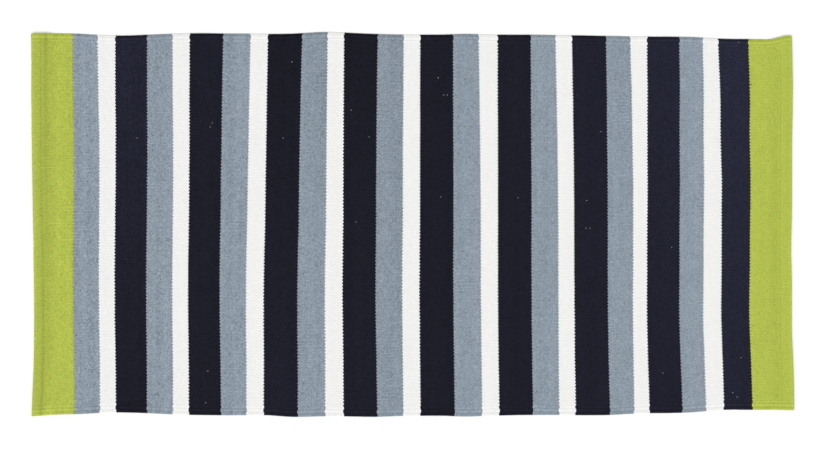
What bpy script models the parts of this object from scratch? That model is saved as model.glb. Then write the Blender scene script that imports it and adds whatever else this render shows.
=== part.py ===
"""Striped rug: one flat-woven cotton cloth with a hem turned under at each short end.

X runs along the rug, Y across it from the near selvedge to the far one, and Z is up.
The origin is on the floor, under the middle of the rug.
"""

from collections import namedtuple
from math import cos, hypot, pi, sin

import bmesh
import bpy

MM = 0.001

# The cloth, in millimetres.
CLOTH_THICK = 3.0  # a warp with the weft over it and under it
LONGEST_STEP = 22.0  # between two sections along a stripe
STEPS_ABOVE = 8  # across the upper face, between the selvedges
STEPS_BELOW = 4  # across the lower face

# The hem at each short end, in millimetres from the fold.
HEM_TURN = 21.0  # how far the cloth is turned under
HEM_GAP = 0.8  # between the two layers
STITCH_PLACE = 16.0  # the row of stitches that holds the hem
STITCH_DIP = 0.5  # how far the stitches pull the upper face down
STITCH_REACH = 3.5  # half the width of that hollow
SLOPE_START = 19.5  # where the upper layer starts to come down to the floor
SLOPE_END = 38.0  # where it lies flat
FOLD_STEPS = 7
SLOPE_STEPS = 6

# The stripes: nine repeats of three, between two green ends. Each width is in
# millimetres along the far selvedge, along the middle and along the near selvedge.
Widths = namedtuple("Widths", "far middle near")
Repeat = namedtuple("Repeat", "grey white navy")
LEFT_FOLD = Widths(-602, -598, -599)  # where the left end lies along X
LEFT_GREEN = Widths(67, 64, 66)
REPEATS = [
    Repeat(Widths(39, 40, 40), Widths(28, 25, 25), Widths(50, 50, 49)),
    Repeat(Widths(40, 41, 41), Widths(27, 25, 25), Widths(53, 50, 51)),
    Repeat(Widths(43, 42, 40), Widths(27, 28, 27), Widths(54, 53, 54)),
    Repeat(Widths(40, 43, 43), Widths(26, 27, 29), Widths(53, 52, 53)),
    Repeat(Widths(41, 42, 41), Widths(26, 27, 27), Widths(52, 53, 54)),
    Repeat(Widths(40, 43, 43), Widths(30, 27, 27), Widths(52, 53, 53)),
    Repeat(Widths(39, 42, 41), Widths(26, 25, 26), Widths(54, 53, 54)),
    Repeat(Widths(38, 40, 38), Widths(27, 22, 24), Widths(51, 51, 52)),
    Repeat(Widths(37, 38, 37), Widths(24, 28, 28), Widths(48, 45, 45)),
]
RIGHT_GREEN = Widths(69, 66, 67)

# The selvedges, which weave in and out: half the width on each side, along X.
Edge = namedtuple("Edge", "station far near")
EDGES = [
    Edge(-600, 301.6, 302.3),
    Edge(-575, 301.6, 300.2),
    Edge(-535, 301.2, 299.0),
    Edge(-464, 298.0, 296.0),
    Edge(-351, 301.5, 300.0),
    Edge(-270, 301.0, 300.5),
    Edge(-228, 300.5, 300.5),
    Edge(-190, 301.0, 303.0),
    Edge(-134, 303.5, 302.0),
    Edge(-58, 300.5, 303.0),
    Edge(-20, 299.5, 301.5),
    Edge(46, 299.5, 301.5),
    Edge(84, 300.5, 302.5),
    Edge(125, 299.5, 301.0),
    Edge(207, 299.0, 300.0),
    Edge(300, 297.5, 300.5),
    Edge(358, 296.5, 297.5),
    Edge(430, 296.0, 296.5),
    Edge(490, 293.0, 292.0),
    Edge(530, 292.5, 292.0),
    Edge(563, 292.2, 291.8),
    Edge(577, 294.6, 291.8),
    Edge(589, 297.5, 292.4),
    Edge(600, 297.6, 293.6),
]

# The selvedge's section: how far in from the edge, and how high above the middle of
# the cloth as a share of its thickness. A rib runs along the edge, with a line inside it.
Lip = namedtuple("Lip", "inset above")
UPPER_LIP = [Lip(0.4, 0.30), Lip(1.3, 0.47), Lip(2.8, 0.50), Lip(5.2, 0.36), Lip(7.5, 0.50)]
LOWER_LIP = [Lip(1.3, -0.50), Lip(0.4, -0.30)]

# Each yarn's colour.
YARNS = {
    "green": (0.42, 0.50, 0.08),
    "grey": (0.27, 0.32, 0.38),
    "white": (0.87, 0.88, 0.87),
    "navy": (0.014, 0.014, 0.024),
}

# One section through the cloth: its place along the middle line, the height of the
# cloth's middle, and the direction that its upper face looks in, along and up.
Section = namedtuple("Section", "along height face_along face_up yarn")


def yarn_material(name):
    """Matt cotton of one colour."""
    material = bpy.data.materials.new(name + "_yarn")
    material.use_nodes = True
    shader = material.node_tree.nodes["Principled BSDF"]
    shader.inputs["Base Color"].default_value = (*YARNS[name], 1.0)
    shader.inputs["Roughness"].default_value = 0.9
    shader.inputs["Metallic"].default_value = 0.0
    material.diffuse_color = (*YARNS[name], 1.0)
    return material


def all_stripes():
    """Every stripe from the left end to the right one: its yarn and its widths."""
    stripes = [("green", LEFT_GREEN)]
    for repeat in REPEATS:
        stripes += zip(repeat._fields, repeat)
    return stripes + [("green", RIGHT_GREEN)]


def stripe_lines():
    """Where each stripe starts, and the last one ends: X far, middle and near."""
    lines = [LEFT_FOLD]
    for _, widths in all_stripes():
        lines.append(Widths(*(start + width for start, width in zip(lines[-1], widths))))
    return lines


LINES = stripe_lines()
MIDDLE = [line.middle for line in LINES]


def half_width(x, side):
    """Half the width at x on one side, on a smooth curve through the measured places."""
    places = [edge.station for edge in EDGES]
    widths = [getattr(edge, side) for edge in EDGES]
    x = min(max(x, places[0]), places[-1])
    i = max(k for k in range(len(places) - 1) if places[k] <= x)

    def slope(k):
        before, after = max(k - 1, 0), min(k + 1, len(places) - 1)
        return (widths[after] - widths[before]) / (places[after] - places[before])

    step = places[i + 1] - places[i]
    t = (x - places[i]) / step
    return (
        (2 * t**3 - 3 * t**2 + 1) * widths[i]
        + (t**3 - 2 * t**2 + t) * step * slope(i)
        + (3 * t**2 - 2 * t**3) * widths[i + 1]
        + (t**3 - t**2) * step * slope(i + 1)
    )


def place(along, across, inset=0.0):
    """X and Y of a point of the cloth: along the middle line, and from 0 at the near
    selvedge to 1 at the far one, less an inset from that selvedge."""
    i = max(k for k in range(len(MIDDLE) - 1) if MIDDLE[k] <= along or k == 0)
    share = (along - MIDDLE[i]) / (MIDDLE[i + 1] - MIDDLE[i])
    far, middle, near = (a + (b - a) * share for a, b in zip(LINES[i], LINES[i + 1]))
    x = (
        near * 2 * (across - 0.5) * (across - 1)
        - middle * 4 * across * (across - 1)
        + far * 2 * across * (across - 0.5)
    )
    low, high = -half_width(near, "near"), half_width(far, "far")
    return x, low + (high - low) * across + inset * (1 - 2 * across)


def hem_sections():
    """From the cut end of the turned layer, round the fold, down to the floor. Here
    along is the distance from the fold, and the yarn is the end stripe's."""
    middle_radius = (CLOTH_THICK + HEM_GAP) / 2
    centre = middle_radius + CLOTH_THICK / 2
    low = CLOTH_THICK / 2
    high = low + 2 * middle_radius
    sections = [Section(d, low, 0, -1, "green") for d in (HEM_TURN, (HEM_TURN + centre) / 2)]
    for k in range(FOLD_STEPS + 1):
        turn = pi * k / FOLD_STEPS
        along, up = -sin(turn), -cos(turn)
        sections.append(
            Section(centre + middle_radius * along, centre + middle_radius * up, along, up, "green")
        )

    def height(d):
        t = min(max((d - SLOPE_START) / (SLOPE_END - SLOPE_START), 0), 1)
        pulled = max(0, 1 - abs(d - STITCH_PLACE) / STITCH_REACH)
        return high + (low - high) * (3 * t**2 - 2 * t**3) - STITCH_DIP * pulled

    stops = [STITCH_PLACE - STITCH_REACH, STITCH_PLACE, SLOPE_START]
    stops += [
        SLOPE_START + (SLOPE_END - SLOPE_START) * k / SLOPE_STEPS for k in range(1, SLOPE_STEPS + 1)
    ]
    for d in stops:
        fall = (height(d - 0.5) - height(d + 0.5)) if d < SLOPE_END else 0
        size = hypot(fall, 1)
        sections.append(Section(d, height(d), fall / size, 1 / size, "green"))
    return sections


def all_sections():
    """Every section, from the cut end under the left hem to the one under the right."""
    hem = hem_sections()
    sections = [s._replace(along=MIDDLE[0] + s.along) for s in hem]
    start = sections[-1].along
    for (yarn, _), low, high in zip(all_stripes(), MIDDLE, MIDDLE[1:]):
        low, high = max(low, start), min(high, MIDDLE[-1] - SLOPE_END)
        steps = max(1, round((high - low) / LONGEST_STEP + 0.3))
        for k in range(1, steps + 1):
            along = low + (high - low) * k / steps
            sections.append(Section(along, CLOTH_THICK / 2, 0, 1, yarn))
    right = [
        s._replace(along=MIDDLE[-1] - s.along, face_along=-s.face_along) for s in reversed(hem)
    ]
    return sections + right[1:]


def outline():
    """The points round one section: across, inset and how far above the cloth's middle."""
    points = [(0, 0, 0)]
    points += [(0, lip.inset, lip.above) for lip in UPPER_LIP]
    points += [(k / STEPS_ABOVE, 0, 0.5) for k in range(1, STEPS_ABOVE)]
    points += [(1, lip.inset, lip.above) for lip in reversed(UPPER_LIP)]
    points += [(1, 0, 0)]
    points += [(1, lip.inset, lip.above) for lip in reversed(LOWER_LIP)]
    points += [(1 - k / STEPS_BELOW, 0, -0.5) for k in range(1, STEPS_BELOW)]
    points += [(0, lip.inset, lip.above) for lip in LOWER_LIP]
    return points


def build_rug():
    """One closed solid: every section's ring is joined to the next, and both cut ends closed."""
    bm = bmesh.new()
    rings, names = [], list(YARNS)
    for section in all_sections():
        ring = []
        for across, inset, above in outline():
            out = above * CLOTH_THICK
            x, y = place(section.along + section.face_along * out, across, inset)
            z = round(section.height + section.face_up * out, 4)
            ring.append(bm.verts.new((x * MM, y * MM, z * MM)))
        rings.append((section, ring))
    for (_, ring), (section, after) in zip(rings, rings[1:]):
        for k in range(len(ring)):
            n = (k + 1) % len(ring)
            face = bm.faces.new((ring[k], ring[n], after[n], after[k]))
            face.material_index = names.index(section.yarn)
            face.smooth = True
    for _, ring in (rings[0], rings[-1]):
        bm.faces.new(ring)
    bmesh.ops.recalc_face_normals(bm, faces=bm.faces)

    xs, ys = [v.co.x for v in bm.verts], [v.co.y for v in bm.verts]
    middle = ((min(xs) + max(xs)) / 2, (min(ys) + max(ys)) / 2, 0)
    bmesh.ops.translate(bm, verts=bm.verts, vec=[-value for value in middle])

    mesh = bpy.data.meshes.new("rug")
    bm.to_mesh(mesh)
    bm.free()
    for name in names:
        mesh.materials.append(yarn_material(name))
    rug = bpy.data.objects.new("rug", mesh)
    bpy.context.collection.objects.link(rug)
    return rug


for old in list(bpy.data.objects):
    bpy.data.objects.remove(old, do_unlink=True)
build_rug()
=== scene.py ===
import bpy
import numpy as np
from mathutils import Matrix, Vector


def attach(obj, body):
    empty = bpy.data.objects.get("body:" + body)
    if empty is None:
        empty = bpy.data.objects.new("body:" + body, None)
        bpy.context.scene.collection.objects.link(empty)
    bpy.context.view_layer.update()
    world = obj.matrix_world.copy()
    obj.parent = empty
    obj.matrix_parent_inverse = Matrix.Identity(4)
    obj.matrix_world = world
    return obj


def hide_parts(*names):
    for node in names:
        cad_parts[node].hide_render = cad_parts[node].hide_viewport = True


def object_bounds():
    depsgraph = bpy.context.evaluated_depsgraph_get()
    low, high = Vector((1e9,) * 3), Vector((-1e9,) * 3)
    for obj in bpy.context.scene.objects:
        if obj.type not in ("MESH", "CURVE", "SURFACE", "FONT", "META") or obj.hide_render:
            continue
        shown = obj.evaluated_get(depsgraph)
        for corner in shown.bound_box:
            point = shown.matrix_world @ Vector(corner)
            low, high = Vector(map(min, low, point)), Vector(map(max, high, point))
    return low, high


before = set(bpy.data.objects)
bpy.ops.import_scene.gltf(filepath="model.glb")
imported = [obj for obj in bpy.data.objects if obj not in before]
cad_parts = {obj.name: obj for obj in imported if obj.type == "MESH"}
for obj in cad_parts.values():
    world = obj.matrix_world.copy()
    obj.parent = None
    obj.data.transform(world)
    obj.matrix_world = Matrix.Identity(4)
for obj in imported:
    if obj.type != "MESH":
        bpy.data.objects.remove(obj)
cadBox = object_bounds()
mm = 0.001

# The cloth as it lies. The stripes are the model's own, and so are the edges but for the near
# right corner. The straying of the folds and stripe lines is the photo's, and less than 3 mm.
cloth = {
    "thick": 3.0 * mm,
    "width": 600 * mm,  # across, in the middle
    "leftFold": (-602, -598, -599),  # mm along X: far selvedge, middle, near selvedge
    "leftGreen": (67, 64, 66),  # stripe widths in mm, at the same three places
    "rightGreen": (69, 66, 67),
    "repeats": [
        {"grey": (39, 40, 40), "white": (28, 25, 25), "navy": (50, 50, 49)},
        {"grey": (40, 41, 41), "white": (27, 25, 25), "navy": (53, 50, 51)},
        {"grey": (43, 42, 40), "white": (27, 28, 27), "navy": (54, 53, 54)},
        {"grey": (40, 43, 43), "white": (26, 27, 29), "navy": (53, 52, 53)},
        {"grey": (41, 42, 41), "white": (26, 27, 27), "navy": (52, 53, 54)},
        {"grey": (40, 43, 43), "white": (30, 27, 27), "navy": (52, 53, 53)},
        {"grey": (39, 42, 41), "white": (26, 25, 26), "navy": (54, 53, 54)},
        {"grey": (38, 40, 38), "white": (27, 22, 24), "navy": (51, 51, 52)},
        {"grey": (37, 38, 37), "white": (24, 28, 28), "navy": (48, 45, 45)},
    ],
    "edges": [  # mm: place along X, then half the width on the far side and on the near side
        (-600, 301.6, 302.3), (-575, 301.6, 300.2), (-535, 301.2, 299.0), (-464, 298.0, 296.0),
        (-351, 301.5, 300.0), (-270, 301.0, 300.5), (-228, 300.5, 300.5), (-190, 301.0, 303.0),
        (-134, 303.5, 302.0), (-58, 300.5, 303.0), (-20, 299.5, 301.5), (46, 299.5, 301.5),
        (84, 300.5, 302.5), (125, 299.5, 301.0), (207, 299.0, 300.0), (300, 297.5, 300.5),
        (358, 296.5, 297.5), (430, 296.0, 296.5), (490, 293.0, 292.0), (530, 292.5, 292.0),
        (563, 292.2, 291.8), (577, 294.6, 291.8), (589, 297.5, 292.1), (600, 297.6, 292.5),
    ],
    "folds": [  # share of the way across from the near side: how far each end strays along X, mm
        (0.00, -1.6, 0.4), (0.06, -0.6, 0.5), (0.12, 0.7, 0.1), (0.22, 1.4, -1.2),
        (0.33, 1.0, -0.3), (0.42, 0.3, -1.1), (0.55, -0.6, 0.6), (0.70, -1.2, 0.5),
        (0.85, -0.7, 1.1), (0.93, 0.2, -0.1), (1.00, 0.5, -1.6),
    ],
    "foldReach": (22, 60),  # mm from a fold: where that starts to fade, and where it ends
    "swayAt": (0.0, 0.35, 0.70, 1.0),  # shares of the rug's length
    "sway": [  # share across: how far the stripe lines stray along X at those four places, mm
        (0.03, 0.6, 0.0, 0.7, 1.3), (0.14, 0.4, 0.1, -0.1, -0.3), (0.26, -0.6, -0.6, -0.2, -2.4),
        (0.38, -0.6, -0.7, -0.2, -0.6), (0.50, 0.0, 0.3, 0.2, 0.5), (0.62, 1.0, 0.2, 0.4, 1.8),
        (0.74, 1.1, 0.2, 0.3, 0.7), (0.85, -0.1, 0.1, 0.0, 1.3), (0.97, -0.6, 0.0, -0.3, -1.3),
    ],
    "pale": {  # how light each stripe of a yarn is beside the usual: far end, near end
        "green": ((0.975, 0.975), (1.0, 1.0)),
        "grey": (
            (1.04, 0.99), (1.00, 1.01), (1.00, 1.00), (0.94, 0.99), (0.94, 0.97), (0.98, 1.01),
            (0.99, 1.04), (0.98, 1.01), (1.01, 1.02),
        ),
        "white": ((1.0, 1.0),) * 9,
        "navy": (
            (1.75, 0.90), (1.10, 1.02), (0.82, 1.25), (0.85, 1.15), (0.97, 0.97), (1.10, 1.05),
            (1.35, 1.22), (1.85, 1.20), (2.35, 1.60),
        ),
    },
}

hem = {
    "turn": 21.0 * mm,  # how far the cloth is turned under
    "gap": 0.8 * mm,  # between its two layers
    "slopeStart": 19.5 * mm,  # from the fold
    "slopeEnd": 38.0 * mm,
    "seamLeft": (14.4 * mm, 15.8 * mm),  # the stitches' distance from the fold: far end, near end
    "seamRight": (19.0 * mm, 19.0 * mm),
    "dip": 0.5 * mm,  # how deep the stitches lie in the upper face
    "dipUnder": 0.4 * mm,  # and in the turned layer
    "reach": 3.0 * mm,  # half the width of those hollows
    "paintedEdgeLight": (0.18, 0.08),  # painted light on the selvedges within a hem, how much lighter they are: left, right
    "paintedEdgeLightEnd": 38,  # mm from the fold
    "paintedEdgeLightFade": 10,  # mm
    "tone": [  # mm from the fold, then the painted shade and painted light on the yarn over the hem's slope, stitches and fold: left end far, left near, right end
        (0, 1.10, 1.06, 1.14), (3, 1.06, 1.04, 1.08), (5, 0.99, 0.96, 1.00),
        (7.6, 0.94, 0.97, 0.97), (10.7, 0.92, 0.94, 0.98), (13, 0.92, 0.88, 0.98),
        (14.5, 0.93, 0.83, 0.98), (17, 0.90, 0.88, 0.98), (18.6, 0.88, 0.94, 1.05),
        (20.2, 0.81, 0.98, 1.03), (22, 0.75, 1.02, 0.94), (24, 0.82, 1.05, 0.93),
        (26, 0.96, 1.07, 0.94), (30, 0.99, 1.06, 0.96), (36, 0.99, 1.03, 0.98),
        (42, 1.01, 1.02, 1.00), (60, 1.02, 1.03, 1.00),
    ],
}

weave = {
    "pick": 1.65 * mm,  # from one throw of the weft to the next
    "pickAtLine": 1.12 * mm,  # the same where the yarn changes, where they are beaten closer
    "rib": 2.58 * mm,  # from one warp to the next
    "nearRibs": (5.0 * mm, 5.9 * mm, 4.8 * mm),  # doubled warps along each selvedge
    "farRibs": (3.0 * mm, 6.0 * mm, 4.6 * mm),
    "paintedSelvedgeShade": [  # painted light and shade on the selvedges' ribs, darker on the far side: ribs in from the edge, near, far
        (0.5, 1.00, 0.92), (0.9, 0.92, 0.83), (1.0, 0.87, 0.84), (1.5, 1.09, 1.07),
        (2.0, 0.90, 0.94), (2.5, 1.05, 1.03), (3.0, 0.98, 0.99), (4.0, 1.00, 1.00),
    ],
    "relief": 0.40 * mm,  # from a rib's crest down to the groove beside it
    "slub": 0.12 * mm,  # how much thicker and thinner the yarn is here and there
    "wander": 0.30 * mm,  # how far a throw or a warp strays sideways
    "wave": 0.4 * mm,  # how far the cloth lifts off the floor here and there
    "underStep": 8,  # picks to a row of faces on the underside
}

yarns = {  # linear colours, how mottled each one is, and how strongly the painted shade of its grooves and the painted light and shade at the hems and selvedges show on it
    "green": ((0.412, 0.480, 0.0726), 0.59, 1.0),
    "grey": ((0.243, 0.291, 0.342), 1.00, 1.0),
    "white": ((0.789, 0.784, 0.772), 0.17, 0.36),
    "navy": ((0.0070, 0.0073, 0.0152), 1.5, 3.0),
}


def stripeTable():
    # every stripe's yarn and how pale its two ends are, and the three lines that bound them all
    pale = cloth["pale"]
    rows = [("green", cloth["leftGreen"], pale["green"][0])]
    for k, repeat in enumerate(cloth["repeats"]):
        rows += [(name, widths, pale[name][k]) for name, widths in repeat.items()]
    rows.append(("green", cloth["rightGreen"], pale["green"][1]))
    rowNames, widths, pales = zip(*rows)
    lines = np.cumsum(np.array([cloth["leftFold"], *widths], float) * mm, axis=0).T
    names = list(yarns)
    return np.array([names.index(name) for name in rowNames]), np.array(pales), lines


stripeYarn, stripePale, (farLine, middleLine, nearLine) = stripeTable()
flatStart = middleLine[0] + hem["slopeEnd"]  # where the cloth lies flat, along the middle
flatLength = middleLine[-1] - hem["slopeEnd"] - flatStart
print("stripes", len(stripeYarn), "middle length", round(middleLine[-1] - middleLine[0], 4))


def smoothThrough(places, values, at):
    # a smooth curve through a few measured values
    slopes = np.empty(len(values))
    slopes[1:-1] = (values[2:] - values[:-2]) / (places[2:] - places[:-2])
    slopes[0] = (values[1] - values[0]) / (places[1] - places[0])
    slopes[-1] = (values[-1] - values[-2]) / (places[-1] - places[-2])
    at = np.clip(at, places[0], places[-1])
    i = np.clip(np.searchsorted(places, at, side="right") - 1, 0, len(places) - 2)
    step = places[i + 1] - places[i]
    t = (at - places[i]) / step
    return (
        (2 * t**3 - 3 * t**2 + 1) * values[i]
        + (t**3 - 2 * t**2 + t) * step * slopes[i]
        + (3 * t**2 - 2 * t**3) * values[i + 1]
        + (t**3 - t**2) * step * slopes[i + 1]
    )


edgePlaces, farEdge, nearEdge = np.array(cloth["edges"]).T * mm
foldShares, leftStray, rightStray = np.array(cloth["folds"]).T
swayShares, *sways = np.array(cloth["sway"]).T


def placeOnCloth(along, fraction, inset):
    # X and Y: fraction is 0 at the near selvedge and 1 at the far one, inset is metres in from it
    allLines = (farLine, middleLine, nearLine)
    far, middle, near = (np.interp(along, middleLine, line) for line in allLines)
    low = -smoothThrough(edgePlaces, nearEdge, near)
    high = smoothThrough(edgePlaces, farEdge, far)
    y = low + (high - low) * fraction + inset * (1 - 2 * np.round(fraction))
    t = (y - low) / (high - low)
    x = near * 2 * (t - 0.5) * (t - 1) - middle * 4 * t * (t - 1) + far * 2 * t * (t - 0.5)
    start, end = cloth["foldReach"]
    free = 1.0
    ends = ((along - middleLine[0], leftStray), (middleLine[-1] - along, rightStray))
    for fromFold, stray in ends:
        share = np.clip((end - fromFold / mm) / (end - start), 0, 1)
        held = share**2 * (3 - 2 * share)
        x = x + held * smoothThrough(foldShares, stray * mm, t)
        free = free - held
    gone = (along - middleLine[0]) / (middleLine[-1] - middleLine[0])
    for stray, part in zip(sways, np.eye(len(sways))):
        share = free * np.interp(gone, cloth["swayAt"], part)
        x = x + share * smoothThrough(swayShares, stray * mm, t)
    return x, y


def hemPath():
    # from the flat cloth up to the hem, round the fold and back under it: how far that is, the
    # distance from the fold and the height at each step, and where the fold starts to turn down
    radius = (cloth["thick"] + hem["gap"]) / 2
    centre = radius + cloth["thick"] / 2
    low, high = cloth["thick"] / 2, cloth["thick"] / 2 + 2 * radius
    upperSteps, foldSteps, lowerSteps = 240, 60, 40
    d = np.linspace(hem["slopeEnd"], centre, upperSteps)
    t = np.clip((d - hem["slopeStart"]) / (hem["slopeEnd"] - hem["slopeStart"]), 0, 1)
    z = high + (low - high) * (3 * t**2 - 2 * t**3)
    turn = np.linspace(0, np.pi, foldSteps)[1:]
    under = np.linspace(centre, hem["turn"], lowerSteps)[1:]
    d = np.concatenate([d, centre - radius * np.sin(turn), under])
    z = np.concatenate([z, centre + radius * np.cos(turn), np.full(len(under), low)])
    gone = np.concatenate([[0], np.cumsum(np.hypot(np.diff(d), np.diff(z)))])
    return gone, d, z, gone[upperSteps - 1]


pathGone, pathPlace, pathHeight, pathTop = hemPath()
hemLength = pathGone[-1]


def pickTable():
    # whole throws in each stripe: the last one before each stripe line, and a table of some
    # throws and their places along the cloth
    lines = middleLine[1:-1] - flatStart
    counts = np.round(np.diff(lines) / weave["pick"]).astype(int)
    picks = np.concatenate([[0], np.cumsum(counts)]) + round(lines[0] / weave["pick"])
    beyond = 100  # throws past the first and last line, more than a hem takes
    half = weave["pickAtLine"] / 2
    at = (picks[:, None] + [0, 1]).ravel()
    places = (lines[:, None] + [-half, half]).ravel()
    reach = beyond * weave["pick"]
    at = np.concatenate([[at[0] - beyond], at, [at[-1] + beyond]])
    return picks, at, np.concatenate([[places[0] - reach], places, [places[-1] + reach]])


stripePicks, pickAt, pickPlaces = pickTable()


def sectionsAt(u):
    # for places u along the cloth, 0 where it starts to lie flat: the place along the middle
    # line, the height of the cloth's middle, its upper face's direction along X and up, and
    # the distance from the fold
    out = np.where(u < 0, -u, np.maximum(u - flatLength, 0))
    d = np.interp(out, pathGone, pathPlace)
    z = np.interp(out, pathGone, pathHeight)
    run = np.gradient(pathPlace, pathGone)
    rise = np.gradient(pathHeight, pathGone)
    faceAlong = np.interp(out, pathGone, rise)
    faceUp = -np.interp(out, pathGone, run)
    size = np.hypot(faceAlong, faceUp)
    left = u < flatLength / 2
    flat = (u >= 0) & (u <= flatLength)
    along = np.where(left, middleLine[0] + d, middleLine[-1] - d)
    along = np.where(flat, flatStart + u, along)
    fromFold = np.where(left, along - middleLine[0], middleLine[-1] - along)
    return along, z, np.where(left, 1, -1) * faceAlong / size, faceUp / size, fromFold


def seamPlace(left, fraction):
    # how far the stitches run from the fold
    far, near = hem["seamLeft"] if left else hem["seamRight"]
    return near + (far - near) * fraction


def acrossSamples():
    # one entry for each line of points across the cloth: rib count, fraction, inset, lip height
    def edgeLines(ribs, fraction):
        first, rows = ribs[0], []
        lip = [(0, 0), (0.35 * mm, 0.30), (1.1 * mm, 0.47), (0.5 * first, 0.5), (0.75 * first, 0.5)]
        rows += [(0.5 + 0.5 * inset / first, fraction, inset, lift) for inset, lift in lip]
        gone = first
        for count, wide in enumerate(ribs[1:], 1):
            rows += [(count + k / 4, fraction, gone + wide * k / 4, 0.5) for k in range(4)]
            gone += wide
        return rows, gone

    width = cloth["width"]
    near, nearGone = edgeLines(weave["nearRibs"], 0)
    far, farGone = edgeLines(weave["farRibs"], 1)
    edge = len(weave["nearRibs"])
    count = round((width - nearGone - farGone) / weave["rib"])
    places = np.linspace(nearGone / width, 1 - farGone / width, 2 * count + 1)
    middle = [(edge + k / 2, place, 0, 0.5) for k, place in enumerate(places)]
    ribs = 2 * edge + count
    return np.array(near + middle + [(ribs - r, *rest) for r, *rest in reversed(far)]).T, ribs


(sampleRib, sampleFraction, sampleInset, sampleLift), ribCount = acrossSamples()
sampleSide = np.where(sampleFraction < 0.5, -1.0, 1.0)
print("ribs", ribCount, "lines of points", len(sampleRib))


def clothPoints(u, side):
    # points of the upper (side 1) or lower (side -1) face, the way each one faces, and the painted
    # light and shade on the yarn there
    along, z, faceAlong, faceUp, fromFold = (value[:, None] for value in sectionsAt(u))
    lift = sampleLift[None, :] * side
    out = lift * cloth["thick"]
    fraction = sampleFraction[None, :]
    x, y = placeOnCloth(along + faceAlong * out, fraction, sampleInset[None, :])
    level = 2 * lift
    sideways = np.sqrt(np.maximum(1 - level**2, 0)) * sampleSide[None, :]
    left = u[:, None] < flatLength / 2
    seam = np.where(left, seamPlace(True, fraction), seamPlace(False, fraction))
    onTop = np.where(u < 0, -u, u - flatLength)[:, None] < pathTop
    pulled = np.clip(1 - np.abs(fromFold - seam) / hem["reach"], 0, 1)
    depth = np.where(onTop, hem["dip"], -hem["dipUnder"] * (side > 0))
    z = z + faceUp * out - depth * pulled**2 * (3 - 2 * pulled)
    facing = np.stack([faceAlong * level, sideways + 0 * along, faceUp * level], axis=-1)
    return np.stack([x, y, z], axis=-1), facing, paintedHemSelvedgeShade(left, fromFold, fraction)


def paintedHemSelvedgeShade(left, fromFold, fraction):
    # painted shade and painted light along the hems, over their slope, the stitches' hollow and the
    # fold, and painted light and shade on the selvedges' ribs, lighter and darker in turn
    at, leftFar, leftNear, right = np.array(hem["tone"]).T
    d = fromFold / mm
    leftPaintedShade = fraction * np.interp(d, at, leftFar) + (1 - fraction) * np.interp(d, at, leftNear)
    end = np.where(left, leftPaintedShade, np.interp(d, at, right))
    end = np.where(d < at[-1], end, 1.0)
    # painted light and shade on the ribs along both selvedges
    ribs, nearPaintedShade, farPaintedShade = np.array(weave["paintedSelvedgeShade"]).T
    edge = np.interp(sampleRib, ribs, nearPaintedShade) * np.interp(ribCount - sampleRib, ribs, farPaintedShade)
    inward = np.minimum(sampleRib, ribCount - sampleRib)
    outer = np.clip(2.0 - 1.1 * inward, 0, 1)[None, :]  # 1 on the outermost rib, 0 two ribs in
    # painted light on the hem's outer ribs, fading away from the fold
    fade = np.clip((hem["paintedEdgeLightEnd"] - d) / hem["paintedEdgeLightFade"], 0, 1)
    lift = np.where(left, *hem["paintedEdgeLight"]) * fade
    return end * edge[None, :] * (1 + outer * lift)


def shownStripe(pick, rib, under):
    # the stripe of the throw that shows at a place: plain weave shows every second throw on a
    # warp, and the others on the warps beside it
    odd = np.floor(rib) % 2
    number = np.floor((pick + under + odd) / 2)
    return np.searchsorted(stripePicks, 2 * number + 1 - odd - under, side="left")


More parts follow.
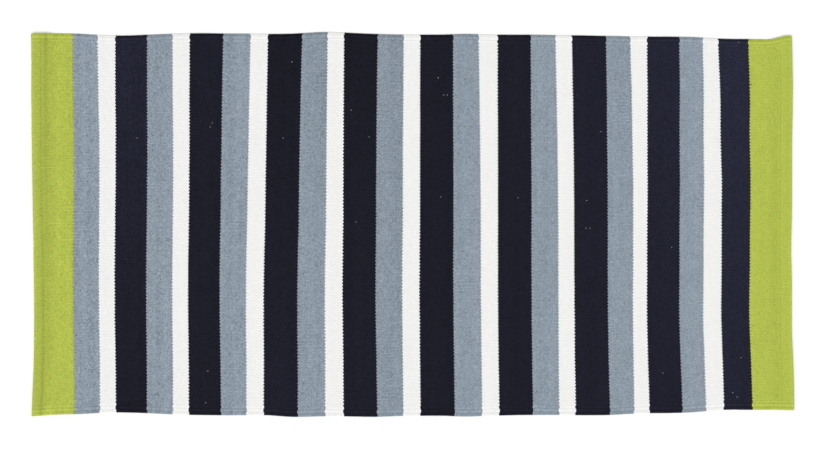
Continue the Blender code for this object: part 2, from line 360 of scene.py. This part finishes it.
def clothMesh(name, first, last, underStep):
    # one length of the cloth, from throw to throw, as a closed body
    picks = np.arange(first, last + 1)
    kept = set(range(0, len(picks) - 1, underStep)) | {len(picks) - 1}
    kept |= {int(k) for m in stripePicks - first for k in (m, m + 1) if 0 < k < len(picks) - 1}
    kept = sorted(kept)  # the underside's rows: few, but whole throws at the stripe lines
    upper, upperFacing, upperPaintedShade = clothPoints(np.interp(picks, pickAt, pickPlaces), 1)
    lower, lowerFacing, lowerPaintedShade = clothPoints(np.interp(picks[kept], pickAt, pickPlaces), -1)
    rows, lines = upper.shape[:2]
    upperIds = np.arange(rows * lines).reshape(rows, lines)
    body = np.arange(len(kept) * (lines - 2)).reshape(len(kept), lines - 2) + rows * lines
    lowerIds = np.concatenate([upperIds[kept, :1], body, upperIds[kept, -1:]], axis=1)

    a, b = upperIds, body
    quads = [np.stack([a[:-1, :-1], a[1:, :-1], a[1:, 1:], a[:-1, 1:]], -1)]
    quads.append(np.stack([b[:-1, :-1], b[:-1, 1:], b[1:, 1:], b[1:, :-1]], -1))
    faces = np.concatenate([q.reshape(-1, 4) for q in quads]).tolist()
    middleRib = (sampleRib[1:] + sampleRib[:-1]) / 2
    middleFraction = (sampleFraction[1:] + sampleFraction[:-1]) / 2
    stripes = [shownStripe(picks[:-1, None] + 0.5, middleRib[None, :], 0).ravel()]
    stripes.append(shownStripe(picks[kept][:-1, None] + 0.5, middleRib[None, 1:-1], 1).ravel())
    places = [np.tile(middleFraction, rows - 1), np.tile(middleFraction[1:-1], len(kept) - 1)]
    rest = []
    for m, (low, high) in enumerate(zip(kept, kept[1:])):  # the two selvedges
        edge = np.arange(low, high + 1)
        faces.append([*upperIds[edge, 0][::-1], lowerIds[m, 1], lowerIds[m + 1, 1]])
        faces.append([*upperIds[edge, -1], lowerIds[m + 1, -2], lowerIds[m, -2]])
        rest += [shownStripe(picks[low] + 0.5, rib, 1) for rib in (0, ribCount - 1)]
    places.append(np.tile([0.0, 1.0], len(kept) - 1))
    smooth = len(faces)
    for k, turn in ((0, 1), (-1, -1)):  # the two cut ends
        a, b = upperIds[k], lowerIds[k]
        faces += np.stack([a[1:-2], a[2:-1], b[2:-1], b[1:-2]], -1)[:, ::turn].tolist()
        faces.append([a[0], a[1], b[1]][::turn])
        faces.append([a[-2], a[-1], b[-2]][::turn])
        rest += [shownStripe(picks[k] + 0.5 * turn, 0, 0)] * (lines - 1)
    places.append(np.full(2 * (lines - 1), 0.5))
    stripes, places = np.concatenate([*stripes, rest]), np.concatenate(places)

    def perPoint(ofUpper, ofLower):
        parts = [ofUpper.reshape(rows * lines, -1), ofLower.reshape(-1, ofUpper[0, 0].size)]
        return np.concatenate(parts)

    def store(label, kind, domain, values):
        field = "vector" if kind == "FLOAT_VECTOR" else "value"
        attribute = mesh.attributes.new(label, kind, domain)
        attribute.data.foreach_set(field, values.ravel().astype("f"))

    def spread(values, like):
        return np.broadcast_to(values, like.shape[:2])[..., None]

    mesh = bpy.data.meshes.new(name)
    mesh.from_pydata((perPoint(upper, lower[:, 1:-1]) + centring).tolist(), [], faces)
    inner = lower[:, 1:-1]
    readings = {
        "pick": perPoint(spread(picks[:, None], upper), spread(picks[kept][:, None] + 1, inner)),
        "rib": perPoint(spread(sampleRib, upper), spread(sampleRib[1:-1], inner)),
        # tone carries the painted light and shade of the hems and selvedges
        "tone": perPoint(upperPaintedShade[..., None], lowerPaintedShade[:, 1:-1, None]),
    }
    for label, values in readings.items():
        store(label, "FLOAT", "POINT", values)
    store("facing", "FLOAT_VECTOR", "POINT", perPoint(upperFacing, lowerFacing[:, 1:-1]))
    far, near = stripePale[stripes].T
    store("yarn", "FLOAT", "FACE", (stripeYarn[stripes] + 0.5) / len(yarns))
    store("pale", "FLOAT", "FACE", near + (far - near) * places)
    mesh.polygons.foreach_set("use_smooth", np.arange(len(faces)) < smooth)
    mesh.update()
    return mesh


def boxCentring():
    # the model stands with the middle of its own box at the origin, and so does the cloth
    steps = 2000
    u = np.linspace(-hemLength, flatLength + hemLength, steps)
    flat = clothPoints(u, 1)[0].reshape(-1, 3)[:, :2]
    middle = (flat.min(axis=0) + flat.max(axis=0)) / 2
    cadMiddle = [(low + high) / 2 for low, high in zip(*cadBox)][:2]
    return np.array([cadMiddle[0] - middle[0], cadMiddle[1] - middle[1], 0.0])


centring = boxCentring()
print("centring", np.round(centring, 5))


# Nodes

def calc(tree, operation, *values):
    node = tree.nodes.new("ShaderNodeMath")
    node.operation = operation
    for socket, value in zip(node.inputs, values):
        if isinstance(value, bpy.types.NodeSocket):
            tree.links.new(value, socket)
        else:
            socket.default_value = value
    return node.outputs[0]


def joined(tree, x, y, z=0.0):
    node = tree.nodes.new("ShaderNodeCombineXYZ")
    for socket, value in zip(node.inputs, (x, y, z)):
        if isinstance(value, bpy.types.NodeSocket):
            tree.links.new(value, socket)
        else:
            socket.default_value = value
    return node.outputs["Vector"]


def noiseAt(tree, vector, stretch, detail, seed):
    # noise with its own number of waves to a unit on each axis, moved by the seed, about -1 to 1
    scale = tree.nodes.new("ShaderNodeVectorMath")
    scale.operation = "MULTIPLY_ADD"
    tree.links.new(vector, scale.inputs[0])
    scale.inputs[1].default_value = stretch
    scale.inputs[2].default_value = (seed, seed * 2.0, seed * 3.0)
    noise = tree.nodes.new("ShaderNodeTexNoise")
    noise.inputs["Scale"].default_value = 1.0
    noise.inputs["Detail"].default_value = detail
    tree.links.new(scale.outputs["Vector"], noise.inputs["Vector"])
    return calc(tree, "MULTIPLY_ADD", noise.outputs["Fac"], 3.0, -1.5)


def weaveRule(tree, pick, rib):
    # plain weave: on odd ribs the weft shows one throw later than on even ones
    def humpOf(phase):
        return calc(tree, "ABSOLUTE", calc(tree, "SINE", calc(tree, "MULTIPLY", phase, np.pi)))

    odd = calc(tree, "MODULO", calc(tree, "FLOOR", rib), 2.0)
    turn = calc(tree, "MULTIPLY", calc(tree, "ADD", pick, odd), 0.5)
    number = calc(tree, "FLOOR", turn)
    return {
        "odd": odd,
        "number": number,
        "thrown": calc(tree, "SUBTRACT", calc(tree, "MULTIPLY", number, 2.0), odd),
        "ribHump": humpOf(rib),
        "floatHump": humpOf(turn),
    }


def newGroup(name, sizes):
    # a Geometry Nodes tree with named inputs for its sizes
    tree = bpy.data.node_groups.new(name, "GeometryNodeTree")
    tree.interface.new_socket("Geometry", in_out="INPUT", socket_type="NodeSocketGeometry")
    tree.interface.new_socket("Geometry", in_out="OUTPUT", socket_type="NodeSocketGeometry")
    for label, value in sizes.items():
        kind = "NodeSocketInt" if isinstance(value, int) else "NodeSocketFloat"
        tree.interface.new_socket(label, in_out="INPUT", socket_type=kind).default_value = value
    tree.interface.new_socket("Material", in_out="INPUT", socket_type="NodeSocketMaterial")
    return tree, tree.nodes.new("NodeGroupInput"), tree.nodes.new("NodeGroupOutput")


def finishGroup(tree, geometry, inputs, outputs):
    realize = tree.nodes.new("GeometryNodeRealizeInstances")
    paint = tree.nodes.new("GeometryNodeSetMaterial")
    tree.links.new(geometry, realize.inputs["Geometry"])
    tree.links.new(realize.outputs["Geometry"], paint.inputs["Geometry"])
    tree.links.new(inputs.outputs["Material"], paint.inputs["Material"])
    tree.links.new(paint.outputs["Geometry"], outputs.inputs["Geometry"])


def runGroup(name, mesh, tree, settings):
    # the tree's result as a plain mesh of its own, with no modifier left on it
    source = bpy.data.objects.new(name + "Source", mesh)
    bpy.context.collection.objects.link(source)
    modifier = source.modifiers.new("shape", "NODES")
    modifier.node_group = tree
    for item in tree.interface.items_tree:
        if item.item_type == "SOCKET" and item.in_out == "INPUT" and item.name in settings:
            modifier[item.identifier] = settings[item.name]
    evaluated = source.evaluated_get(bpy.context.evaluated_depsgraph_get())
    result = bpy.data.meshes.new_from_object(evaluated)
    result.name = name
    source.modifiers.remove(modifier)
    bpy.data.objects.remove(source)
    piece = bpy.data.objects.new(name, result)
    bpy.context.collection.objects.link(piece)
    return piece


def attributeIn(tree, label, kind="FLOAT"):
    node = tree.nodes.new("GeometryNodeInputNamedAttribute")
    node.data_type = kind
    node.inputs["Name"].default_value = label
    return node.outputs["Attribute"]


def liftAt(tree, place, wave):
    # how far the cloth, and what lies on it, is off the floor at a place
    swell = tree.nodes.new("ShaderNodeMapRange")
    swell.inputs["From Min"].default_value = -0.2
    swell.inputs["From Max"].default_value = 0.6
    tree.links.new(noiseAt(tree, place, (7.0, 7.0, 0.0), 0.5, 2.0), swell.inputs["Value"])
    return calc(tree, "MULTIPLY", swell.outputs["Result"], wave)


def weaveTree():
    # presses the ribs and floats of the weave into a plain closed sheet
    sizes = {label: weave[label.lower()] for label in ("Relief", "Slub", "Wander", "Wave")}
    tree, inputs, outputs = newGroup("weave", sizes)
    pick, rib = attributeIn(tree, "pick"), attributeIn(tree, "rib")
    rule = weaveRule(tree, pick, rib)
    floatPart = calc(tree, "MULTIPLY_ADD", rule["floatHump"], 0.5, 0.5)
    hump = calc(tree, "MULTIPLY", rule["ribHump"], floatPart)
    sink = calc(tree, "MULTIPLY", calc(tree, "SUBTRACT", hump, 1.0), inputs.outputs["Relief"])
    place = tree.nodes.new("GeometryNodeInputPosition").outputs["Position"]
    lumps = calc(tree, "SUBTRACT", noiseAt(tree, place, (160.0, 160.0, 160.0), 1.0, 0.0), 0.8)
    push = tree.nodes.new("ShaderNodeVectorMath")
    push.operation = "SCALE"
    tree.links.new(attributeIn(tree, "facing", "FLOAT_VECTOR"), push.inputs[0])
    slub = calc(tree, "MULTIPLY", calc(tree, "MULTIPLY", lumps, 0.4), inputs.outputs["Slub"])
    tree.links.new(calc(tree, "ADD", sink, slub), push.inputs["Scale"])

    apart = tree.nodes.new("ShaderNodeSeparateXYZ")
    tree.links.new(place, apart.inputs["Vector"])
    onThrow = calc(tree, "MULTIPLY", pick, 0.45), calc(tree, "MULTIPLY", apart.outputs["Y"], 22.0)
    onWarp = calc(tree, "MULTIPLY", apart.outputs["X"], 16.0), calc(tree, "MULTIPLY", rib, 0.9)
    astray = noiseAt(tree, joined(tree, *onThrow), (1.0, 1.0, 1.0), 1.0, 5.0)
    aside = noiseAt(tree, joined(tree, *onWarp), (1.0, 1.0, 1.0), 1.0, 9.0)
    stray = joined(
        tree,
        calc(tree, "MULTIPLY", astray, inputs.outputs["Wander"]),
        calc(tree, "MULTIPLY", aside, inputs.outputs["Wander"]),
        liftAt(tree, place, inputs.outputs["Wave"]),
    )
    total = tree.nodes.new("ShaderNodeVectorMath")
    tree.links.new(push.outputs["Vector"], total.inputs[0])
    tree.links.new(stray, total.inputs[1])
    move = tree.nodes.new("GeometryNodeSetPosition")
    tree.links.new(inputs.outputs["Geometry"], move.inputs["Geometry"])
    tree.links.new(total.outputs["Vector"], move.inputs["Offset"])
    finishGroup(tree, move.outputs["Geometry"], inputs, outputs)
    return tree


def newMaterial(name):
    material = bpy.data.materials.new(name)
    material.use_nodes = True
    return material, material.node_tree, material.node_tree.nodes["Principled BSDF"]


def steppedRamp(tree, share, colours):
    # one even step for each colour
    ramp = tree.nodes.new("ShaderNodeValToRGB")
    ramp.color_ramp.interpolation = "CONSTANT"
    stops = ramp.color_ramp.elements
    for i, colour in enumerate(colours):
        stop = stops[i] if i < 2 else stops.new(i / len(colours))
        stop.position = i / len(colours)
        stop.color = (*colour, 1.0)
    tree.links.new(share, ramp.inputs["Fac"])
    return ramp.outputs["Color"]


def wovenCotton():
    material, tree, shader = newMaterial("wovenCotton")
    look = {
        "throws": 0.060,  # each throw's yarn, lighter and darker along its length
        "bands": 0.12,  # slow changes over several throws
        "bobbins": 0.095,  # two shuttles thrown in turn, which rule faint lines along the warps
        "floats": 0.09,  # each float beside its neighbours
        "neps": 0.25,  # specks within one float
        "specks": 2.5,  # how much the strong ones stand out from the rest
        "mottle": 0.07,  # patches of a few centimetres
        "groove": 0.88,  # painted shade in the groove between two ribs: how light it is
        "bump": 0.30 * mm,
        "evener": (1.02, 0.70),  # how uneven the yarn is at the left end and at the right end
    }
    most = 4  # a ramp's colours end at 1, so it holds the yarns' numbers as shares of this
    readings = {}
    for label in ("pick", "rib", "tone", "yarn", "pale"):
        node = tree.nodes.new("ShaderNodeAttribute")
        node.attribute_name = label
        readings[label] = node.outputs["Fac"]
    rule = weaveRule(tree, readings["pick"], readings["rib"])
    place = tree.nodes.new("ShaderNodeTexCoord").outputs["Object"]
    apart = tree.nodes.new("ShaderNodeSeparateXYZ")
    tree.links.new(place, apart.inputs["Vector"])
    colour = steppedRamp(tree, readings["yarn"], [linear for linear, _, _ in yarns.values()])
    # the second share of each yarn sets how strongly its painted shade and light show
    shares = [(uneven / most, ribs / most, 0.0) for _, uneven, ribs in yarns.values()]
    split = tree.nodes.new("ShaderNodeSeparateColor")
    tree.links.new(steppedRamp(tree, readings["yarn"], shares), split.inputs["Color"])
    mottled = calc(tree, "MULTIPLY", split.outputs["Red"], most)
    paintedShadeStrength = calc(tree, "MULTIPLY", split.outputs["Green"], most)

    onThrow = joined(tree, rule["thrown"], apart.outputs["Y"])
    throws = noiseAt(tree, onThrow, (1.7, 50.0, 1.0), 1.0, 3.1)
    bands = noiseAt(tree, onThrow, (0.16, 1.8, 1.0), 3.0, 6.4)
    mottle = noiseAt(tree, place, (45.0, 38.0, 40.0), 2.0, 7.7)
    patches = noiseAt(tree, place, (22.0, 12.0, 1.0), 1.0, 11.3)
    neps = noiseAt(tree, place, (750.0, 340.0, 340.0), 1.0, 13.9)
    strong = calc(tree, "MULTIPLY_ADD", calc(tree, "MULTIPLY", neps, neps), look["specks"], 1.0)
    cell = tree.nodes.new("ShaderNodeTexWhiteNoise")
    cell.noise_dimensions = "2D"
    floatNumber = joined(tree, rule["number"], calc(tree, "FLOOR", readings["rib"]))
    tree.links.new(floatNumber, cell.inputs["Vector"])
    eachFloat = calc(tree, "SUBTRACT", cell.outputs["Value"], 0.5)
    shuttle = calc(tree, "SUBTRACT", rule["odd"], 0.5)
    bobbin = calc(tree, "MULTIPLY", shuttle, calc(tree, "MAXIMUM", patches, 0.0))
    tone = calc(tree, "MULTIPLY", throws, look["throws"])
    parts = (
        (bands, look["bands"]), (mottle, look["mottle"]), (bobbin, look["bobbins"] * 2),
        (eachFloat, look["floats"] * 2), (calc(tree, "MULTIPLY", neps, strong), look["neps"]),
    )
    for part, strength in parts:
        tone = calc(tree, "MULTIPLY_ADD", part, strength, tone)
    evener = tree.nodes.new("ShaderNodeMapRange")
    ends = zip(("From Min", "From Max", "To Min", "To Max"), (-0.6, 0.6, *look["evener"]))
    for label, value in ends:
        evener.inputs[label].default_value = value
    tree.links.new(apart.outputs["X"], evener.inputs["Value"])
    tone = calc(tree, "MULTIPLY", calc(tree, "MULTIPLY", tone, mottled), evener.outputs["Result"])

    # painted shade in the grooves between ribs and between floats, darkest where the weave's hump
    # is lowest
    ribRound = calc(tree, "POWER", rule["ribHump"], 0.6)
    floatRound = calc(tree, "POWER", rule["floatHump"], 0.6)
    hump = calc(tree, "MULTIPLY", ribRound, calc(tree, "MULTIPLY_ADD", floatRound, 0.45, 0.55))
    depth = calc(tree, "MULTIPLY", calc(tree, "MINIMUM", paintedShadeStrength, 1.0), 1.0 - look["groove"])
    shade = calc(tree, "MULTIPLY_ADD", calc(tree, "SUBTRACT", hump, 1.0), depth, 1.0)
    shade = calc(tree, "MULTIPLY", shade, calc(tree, "ADD", tone, 1.0))
    # painted light and shade of the hems and selvedges, as strong as each yarn takes it
    paintedEdgeShade = calc(tree, "MULTIPLY_ADD", calc(tree, "SUBTRACT", readings["tone"], 1.0), paintedShadeStrength, 1.0)
    shade = calc(tree, "MULTIPLY", shade, calc(tree, "MULTIPLY", readings["pale"], paintedEdgeShade))
    shaded = tree.nodes.new("ShaderNodeVectorMath")
    shaded.operation = "SCALE"
    tree.links.new(colour, shaded.inputs[0])
    tree.links.new(shade, shaded.inputs["Scale"])
    tree.links.new(shaded.outputs["Vector"], shader.inputs["Base Color"])

    wound = calc(tree, "MULTIPLY", readings["pick"], 1.4)
    twist = calc(tree, "MULTIPLY_ADD", readings["rib"], 3.0, wound)
    ply = calc(tree, "SINE", calc(tree, "MULTIPLY", twist, 2 * np.pi))
    fibre = noiseAt(tree, place, (2600.0, 1400.0, 1500.0), 2.0, 1.0)
    height = calc(tree, "MULTIPLY_ADD", ply, 0.05, hump)
    height = calc(tree, "MULTIPLY_ADD", fibre, 0.07, height)
    bump = tree.nodes.new("ShaderNodeBump")
    bump.inputs["Distance"].default_value = look["bump"]
    tree.links.new(height, bump.inputs["Height"])
    tree.links.new(bump.outputs["Normal"], shader.inputs["Normal"])
    shader.inputs["Roughness"].default_value = 0.92
    shader.inputs["Specular IOR Level"].default_value = 0.15
    shader.inputs["Sheen Weight"].default_value = 0.03
    shader.inputs["Sheen Roughness"].default_value = 0.5
    return material


def clothLengths():
    # a hemmed end, the nine repeats and the other hemmed end: each one's first and last throw,
    # and the step of its rows underneath
    finer = 2
    borders = [int(stripePicks[3 * k]) for k in range(len(cloth["repeats"]) + 1)]
    start = int(np.ceil(np.interp(-hemLength, pickPlaces, pickAt)))
    end = int(np.interp(flatLength + hemLength, pickPlaces, pickAt))
    lengths = [("rug_hem_left", start, borders[0], finer)]
    for k, (low, high) in enumerate(zip(borders, borders[1:])):
        lengths.append((f"rug_repeat_{k + 1}", low, high, weave["underStep"]))
    return lengths + [("rug_hem_right", borders[-1], end, finer)]


def buildCloth():
    tree, material = weaveTree(), wovenCotton()
    pieces = []
    for name, first, last, underStep in clothLengths():
        mesh = clothMesh(name, first, last, underStep)
        piece = runGroup(name, mesh, tree, {"Material": material})
        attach(piece, "root")
        pieces.append(piece)
        print(name, "triangles", sum(len(face.vertices) - 2 for face in piece.data.polygons))
    return pieces


pieces = buildCloth()
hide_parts("rug")


# Threads on the cloth

stitches = {
    "pitch": 4.4 * mm,
    "length": 4.1 * mm,
    "radius": 0.30 * mm,
    "proud": 0.05 * mm,  # how far its middle line is above the hollow it lies in
    "arch": 0.45 * mm,  # how far a stitch's ends go down into the cloth
    "turn": 0.10,  # how far a stitch is turned at most, in radians
    "inset": 2.5 * mm,  # the first one's distance from the selvedge
    "colour": (0.335, 0.395, 0.055),
    "underRadius": 0.21 * mm,
    "underHeight": 0.24 * mm,
}

sizeRange = (0.92, 1.06)  # how long a thread is beside the usual

lint = {
    "places": [  # mm: pale specks as they lie on the cloth
        (-434, 136), (-316, 160), (-319, 153.5), (-190, 256), (-204, 136), (-97, 180), (-69, 138),
        (-89, 4), (40, 231), (49, 204), (54, 204), (44, 43), (166, 42), (274, 38), (273, -6),
        (279, -6), (296, 146), (514, 287), (408, -36), (422, -50), (394, -234), (504, -265),
        (511, -272), (517, -210), (-323, -231), (-326, -281),
    ],
    "strands": [(0.0, 0.0), (0.35, 0.2), (-0.2, 0.4)],  # mm off the speck's place
    "length": 1.6 * mm,
    "bend": 0.9 * mm,
    "radius": 0.12 * mm,
    "turn": 3.1,  # radians, so a fibre lies any way round
    "colour": (0.48, 0.48, 0.49),
}

nubs = {
    "places": [(532.6, 221.0), (530.8, 26.0)],  # mm: where navy yarn catches over the green
    "length": 3.6 * mm,
    "radius": 0.55 * mm,
    "lift": 0.1 * mm,
    "arch": 0.30 * mm,
    "turn": 0.3,
    "colour": (0.012, 0.014, 0.020),
}


def randomIn(tree, low, high, seed):
    node = tree.nodes.new("FunctionNodeRandomValue")
    node.data_type = "FLOAT"
    sockets = {socket.name: socket for socket in node.inputs if socket.enabled}
    for label, value in (("Min", low), ("Max", high)):
        if isinstance(value, bpy.types.NodeSocket):
            tree.links.new(value, sockets[label])
        else:
            sockets[label].default_value = value
    sockets["Seed"].default_value = seed
    return next(socket for socket in node.outputs if socket.enabled)


def bentThread(tree, inputs, steps, sides):
    # a short round thread along X, arched over its middle, with both ends closed
    half = calc(tree, "MULTIPLY", inputs.outputs["Length"], 0.5)
    down = calc(tree, "MULTIPLY", inputs.outputs["Arch"], -1.0)
    arc = tree.nodes.new("GeometryNodeCurveQuadraticBezier")
    arc.inputs["Resolution"].default_value = steps
    start = joined(tree, calc(tree, "MULTIPLY", half, -1.0), 0.0, down)
    middle = joined(tree, 0.0, inputs.outputs["Bend"], inputs.outputs["Arch"])
    end = joined(tree, half, 0.0, down)
    for label, place in (("Start", start), ("Middle", middle), ("End", end)):
        tree.links.new(place, arc.inputs[label])
    ring = tree.nodes.new("GeometryNodeCurvePrimitiveCircle")
    ring.inputs["Resolution"].default_value = sides
    tree.links.new(inputs.outputs["Radius"], ring.inputs["Radius"])
    tube = tree.nodes.new("GeometryNodeCurveToMesh")
    tube.inputs["Fill Caps"].default_value = True
    tree.links.new(arc.outputs["Curve"], tube.inputs["Curve"])
    tree.links.new(ring.outputs["Curve"], tube.inputs["Profile Curve"])
    return tube.outputs["Mesh"]


def threadTree(name, sizes, steps, sides, seed):
    # bent threads: along a line at an even pitch where there is one, else one at each point
    usual = {"Length": 0.004, "Bend": 0.0, "Radius": 0.0003, "Arch": 0.0, "Turn": 0.1}
    sizes = {**usual, "Wave": weave["wave"], **sizes}
    tree, inputs, outputs = newGroup(name, sizes)
    geometry = inputs.outputs["Geometry"]
    if "Pitch" in sizes:
        line = tree.nodes.new("GeometryNodeMeshToCurve")
        tree.links.new(geometry, line.inputs["Mesh"])
        spaced = tree.nodes.new("GeometryNodeResampleCurve")
        spaced.mode = "LENGTH"
        tree.links.new(line.outputs["Curve"], spaced.inputs["Curve"])
        tree.links.new(inputs.outputs["Pitch"], spaced.inputs["Length"])
        geometry = spaced.outputs["Curve"]
    place = tree.nodes.new("GeometryNodeInputPosition").outputs["Position"]
    lifted = tree.nodes.new("GeometryNodeSetPosition")
    tree.links.new(geometry, lifted.inputs["Geometry"])
    lift = joined(tree, 0.0, 0.0, liftAt(tree, place, inputs.outputs["Wave"]))
    tree.links.new(lift, lifted.inputs["Offset"])
    along = tree.nodes.new("FunctionNodeAlignRotationToVector")
    along.axis = "X"
    along.pivot_axis = "Z"
    tangent = tree.nodes.new("GeometryNodeInputTangent")
    tree.links.new(tangent.outputs["Tangent"], along.inputs["Vector"])
    low = calc(tree, "MULTIPLY", inputs.outputs["Turn"], -1.0)
    angle = tree.nodes.new("FunctionNodeEulerToRotation")
    turned = joined(tree, 0.0, 0.0, randomIn(tree, low, inputs.outputs["Turn"], seed))
    tree.links.new(turned, angle.inputs["Euler"])
    rotation = tree.nodes.new("FunctionNodeRotateRotation")
    tree.links.new(along.outputs["Rotation"], rotation.inputs["Rotation"])
    tree.links.new(angle.outputs["Rotation"], rotation.inputs["Rotate By"])
    size = randomIn(tree, *sizeRange, seed + 1)
    copies = tree.nodes.new("GeometryNodeInstanceOnPoints")
    tree.links.new(lifted.outputs["Geometry"], copies.inputs["Points"])
    tree.links.new(bentThread(tree, inputs, steps, sides), copies.inputs["Instance"])
    tree.links.new(rotation.outputs["Rotation"], copies.inputs["Rotation"])
    tree.links.new(joined(tree, size, 1.0, 1.0), copies.inputs["Scale"])
    finishGroup(tree, copies.outputs["Instances"], inputs, outputs)
    return tree


def threadMaterial(name, colour, uneven, twist):
    # fine yarn: its plies wind round it, a little lighter and darker along it
    material, tree, shader = newMaterial(name)
    place = tree.nodes.new("ShaderNodeTexCoord").outputs["Object"]
    apart = tree.nodes.new("ShaderNodeSeparateXYZ")
    tree.links.new(place, apart.inputs["Vector"])
    across = calc(tree, "ADD", apart.outputs["X"], apart.outputs["Z"])
    wound = calc(tree, "MULTIPLY_ADD", across, 0.8, apart.outputs["Y"])
    ply = calc(tree, "SINE", calc(tree, "MULTIPLY", wound, 2 * np.pi / twist))
    lighter = noiseAt(tree, place, (300.0, 300.0, 300.0), 2.0, 4.2)
    shade = calc(tree, "MULTIPLY_ADD", ply, 0.06, calc(tree, "MULTIPLY_ADD", lighter, uneven, 1.0))
    shaded = tree.nodes.new("ShaderNodeVectorMath")
    shaded.operation = "SCALE"
    shaded.inputs[0].default_value = colour
    tree.links.new(shade, shaded.inputs["Scale"])
    tree.links.new(shaded.outputs["Vector"], shader.inputs["Base Color"])
    fuzz = noiseAt(tree, place, (4000.0, 4000.0, 4000.0), 2.0, 8.8)
    bump = tree.nodes.new("ShaderNodeBump")
    bump.inputs["Distance"].default_value = 0.06 * mm
    tree.links.new(calc(tree, "MULTIPLY_ADD", fuzz, 0.15, ply), bump.inputs["Height"])
    tree.links.new(bump.outputs["Normal"], shader.inputs["Normal"])
    shader.inputs["Roughness"].default_value = 0.85
    shader.inputs["Specular IOR Level"].default_value = 0.2
    return material


def seamMesh(name, height):
    # the two lines that the hems' stitches follow, at one height
    mesh = bpy.data.meshes.new(name)
    steps, width, inset = 200, cloth["width"], stitches["inset"]
    fraction = np.linspace(inset, width - inset, steps) / width
    places = []
    for left in (True, False):
        d = seamPlace(left, fraction)
        along = middleLine[0] + d if left else middleLine[-1] - d
        x, y = placeOnCloth(along, fraction, 0.0)
        places.append(np.stack([x, y, np.full(len(x), height)], -1) + centring)
    edges = [(k, k + 1) for start in (0, steps) for k in range(start, start + steps - 1)]
    mesh.from_pydata(np.concatenate(places).tolist(), edges, [])
    return mesh


def pointMesh(name, places, height):
    # points on the flat cloth, given in mm beside the rug's middle
    mesh = bpy.data.meshes.new(name)
    mesh.from_pydata([(x * mm, y * mm, height) for x, y in places], [], [])
    return mesh


def ridesOnCloth(piece):
    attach(piece, "root")
    print(piece.name, "triangles", sum(len(face.vertices) - 2 for face in piece.data.polygons))


def sewHems():
    green = threadMaterial("sewingThread", stitches["colour"], uneven=0.10, twist=0.9 * mm)
    sizes = {"Pitch": stitches["pitch"], "Length": stitches["length"], "Turn": stitches["turn"]}
    above = {**sizes, "Radius": stitches["radius"], "Arch": stitches["arch"]}
    below = {**sizes, "Radius": stitches["underRadius"], "Arch": -stitches["arch"]}
    top = 2 * cloth["thick"] + hem["gap"] - hem["dip"] + stitches["proud"]
    rows = (
        ("rug_stitches_upper", above, top),
        ("rug_stitches_under", below, stitches["underHeight"]),
    )
    for seed, (name, row, height) in enumerate(rows, 21):
        tree = threadTree(name, row, steps=5, sides=7, seed=seed)
        piece = runGroup(name, seamMesh(name, height), tree, {"Material": green})
        ridesOnCloth(piece)


def scatterLint():
    pale = threadMaterial("paleLint", lint["colour"], uneven=0.15, twist=0.5 * mm)
    sizes = {label: lint[label.lower()] for label in ("Length", "Bend", "Radius", "Turn")}
    places = [(x + dx, y + dy) for x, y in lint["places"] for dx, dy in lint["strands"]]
    mesh = pointMesh("rug_lint", places, cloth["thick"] + lint["radius"])
    tree = threadTree("lint", sizes, steps=6, sides=5, seed=31)
    ridesOnCloth(runGroup("rug_lint", mesh, tree, {"Material": pale}))


def catchNubs():
    dark = threadMaterial("navyYarn", nubs["colour"], uneven=0.2, twist=0.9 * mm)
    sizes = {label: nubs[label.lower()] for label in ("Length", "Radius", "Arch", "Turn")}
    mesh = pointMesh("rug_nubs", nubs["places"], cloth["thick"] + nubs["lift"])
    tree = threadTree("nubs", sizes, steps=8, sides=8, seed=41)
    ridesOnCloth(runGroup("rug_nubs", mesh, tree, {"Material": dark}))


sewHems()
scatterLint()
catchNubs()


# Floor, light and camera

def buildFloor():
    material, _, shader = newMaterial("paleFloor")
    shader.inputs["Base Color"].default_value = (0.93, 0.93, 0.925, 1.0)
    shader.inputs["Roughness"].default_value = 0.9
    shader.inputs["Specular IOR Level"].default_value = 0.1
    mesh = bpy.data.meshes.new("floor")
    half, below = 6.0, -0.2 * mm
    corners = [(x * half, y * half, below) for x, y in ((-1, -1), (1, -1), (1, 1), (-1, 1))]
    mesh.from_pydata(corners, [], [(0, 1, 2, 3)])
    mesh.materials.append(material)
    floor = bpy.data.objects.new("floor", mesh)
    bpy.context.collection.objects.link(floor)


def addSun(name, direction, angle, strength):
    # a wide, far light, so that it is as bright on every part of the rug
    light = bpy.data.lights.new(name, "SUN")
    light.angle, light.energy = angle, strength
    lamp = bpy.data.objects.new(name, light)
    lamp.location = direction
    lamp.rotation_euler = (-Vector(direction)).to_track_quat("-Z", "Y").to_euler()
    bpy.context.collection.objects.link(lamp)


def lightScene():
    world = bpy.data.worlds.new("studio")
    world.use_nodes = True
    world.node_tree.nodes["Background"].inputs["Color"].default_value = (1.0, 1.0, 1.0, 1.0)
    world.node_tree.nodes["Background"].inputs["Strength"].default_value = 0.642
    bpy.context.scene.world = world
    addSun("keyLight", (-1.4, -1.4, 3.6), 0.6, 1.376)
    addSun("fillLight", (1.6, -1.0, 4.0), 0.9, 0.50)
    bpy.context.scene.view_settings.view_transform = "Standard"


def aimCamera():
    view = {"pixel": 1.575 * mm, "across": 828, "lens": 100.0, "sensor": 36.0, "right": 2.05 * mm}
    reach = view["pixel"] * view["across"]
    camera = bpy.data.cameras.new("camera")
    camera.lens, camera.sensor_width = view["lens"], view["sensor"]
    eye = bpy.data.objects.new("camera", camera)
    eye.location = (view["right"], 0.0, cloth["thick"] + reach * view["lens"] / view["sensor"])
    bpy.context.collection.objects.link(eye)
    bpy.context.scene.camera = eye


buildFloor()
lightScene()
aimCamera()
